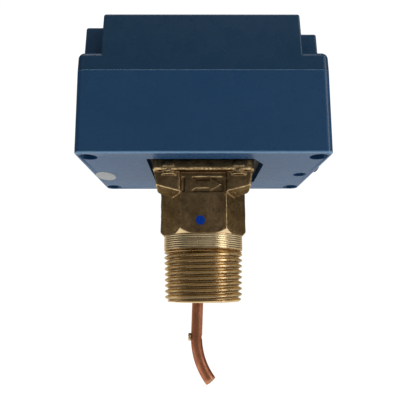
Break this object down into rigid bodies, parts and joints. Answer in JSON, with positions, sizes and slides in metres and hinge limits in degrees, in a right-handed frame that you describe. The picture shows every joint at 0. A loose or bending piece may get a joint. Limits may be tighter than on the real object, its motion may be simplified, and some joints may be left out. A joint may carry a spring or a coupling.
{
  "type": "paddle flow switch",
  "caption": "Paddle flow switch: blue moulded housing with a snap switch inside, on a cast brass body with a one inch taper pipe thread and a bent copper arm.",
  "frame": {"origin": "on the pipe thread's axis, at the thread's upper end below the turned collar", "axes": "+X downstream, the way the flow arrow points; +Z along the thread's axis up into the housing; +Y away from the face with the arrow"},
  "size_m": [0.1027, 0.0624, 0.1455],
  "materials": {
    "blue_plastic": "satin gloss moulded polycarbonate",
    "cast_brass": "as cast, with turned collar and thread",
    "copper": "drawn copper with brown tarnish",
    "zinc_steel": "zinc plated sheet and screws",
    "stainless": "ground bar",
    "bronze_bellows": "thin rolled bronze",
    "gasket_rubber": "moulded rubber",
    "black_plastic": "moulded nylon",
    "pale_washer": "sheet washer",
    "switch_plastic": "moulded phenolic",
    "plunger_plastic": "moulded nylon",
    "red_screw": "coloured terminal screw",
    "yellow_screw": "coloured terminal screw",
    "blue_screw": "coloured terminal screw",
    "green_screw": "coloured earth screw",
    "spring_steel": "bright spring wire"
  },
  "bodies": {
    "housing": {"housing_base": "blue_plastic", "cover_gasket": "gasket_rubber", "conduit_plug": "black_plastic", "conduit_washer": "pale_washer", "conduit_locknut": "black_plastic", "brass_body": "cast_brass", "body_gasket": "gasket_rubber", "mounting_plate": "zinc_steel", "flange_screws": "zinc_steel", "plate_screws": "zinc_steel", "bellows_ring": "cast_brass", "bellows": "bronze_bellows", "pivot_bracket": "zinc_steel", "bracket_screws": "zinc_steel", "pivot_pin": "stainless", "pivot_clips": "spring_steel", "switch_case": "switch_plastic", "switch_bracket": "zinc_steel", "switch_screws": "zinc_steel", "switch_nuts": "zinc_steel", "switch_foot_screws": "zinc_steel", "terminal_common": "red_screw", "terminal_normally_closed": "yellow_screw", "terminal_normally_open": "blue_screw", "range_bracket": "zinc_steel", "range_foot_screws": "zinc_steel", "range_spring": "spring_steel", "ground_screw": "green_screw"},
    "cover": {"housing_cover": "blue_plastic", "cover_screws": "zinc_steel"},
    "paddle_lever": {"paddle_arm": "copper", "paddle_screw": "cast_brass", "bellows_end_cup": "cast_brass", "lever_rod": "stainless", "rocker_lever": "zinc_steel"},
    "plunger": {"switch_plunger": "plunger_plastic"},
    "range_screw": {"range_screw": "zinc_steel", "range_screw_clip": "spring_steel"},
    "range_nut": {"range_nut": "zinc_steel"}
  },
  "joints": [
    {"name": "paddle_swing", "type": "hinge", "parent": "housing", "child": "paddle_lever", "pos_m": [0, 0, 0.047], "axis": [0, -1, 0], "range_deg": [0, 4.5], "stiffness_Nm_per_rad": 0.5, "springref_deg": -5.73, "deforming": ["bellows", "range_spring"]},
    {"name": "plunger_press", "type": "slide", "parent": "housing", "child": "plunger", "axis": [0, 0, -1], "range_m": [0, 0.0015]},
    {"name": "range_screw_turn", "type": "hinge", "parent": "housing", "child": "range_screw", "pos_m": [0.016, 0, 0.062], "axis": [0, 0, 1], "range_deg": [-720, 1080]},
    {"name": "range_nut_travel", "type": "slide", "parent": "housing", "child": "range_nut", "axis": [0, 0, 1], "range_m": [-0.0021, 0.0014], "deforming": ["range_spring"]},
    {"name": "cover_lift", "type": "slide", "parent": "housing", "child": "cover", "axis": [0, 0, 1], "range_m": [0, 0.05]}
  ],
  "couplings": [
    {"joint": "plunger_press", "follows": "paddle_swing", "m_per_rad": 0.018},
    {"joint": "range_screw_turn", "follows": "range_nut_travel", "rad_per_m": -8975.9}
  ]
}
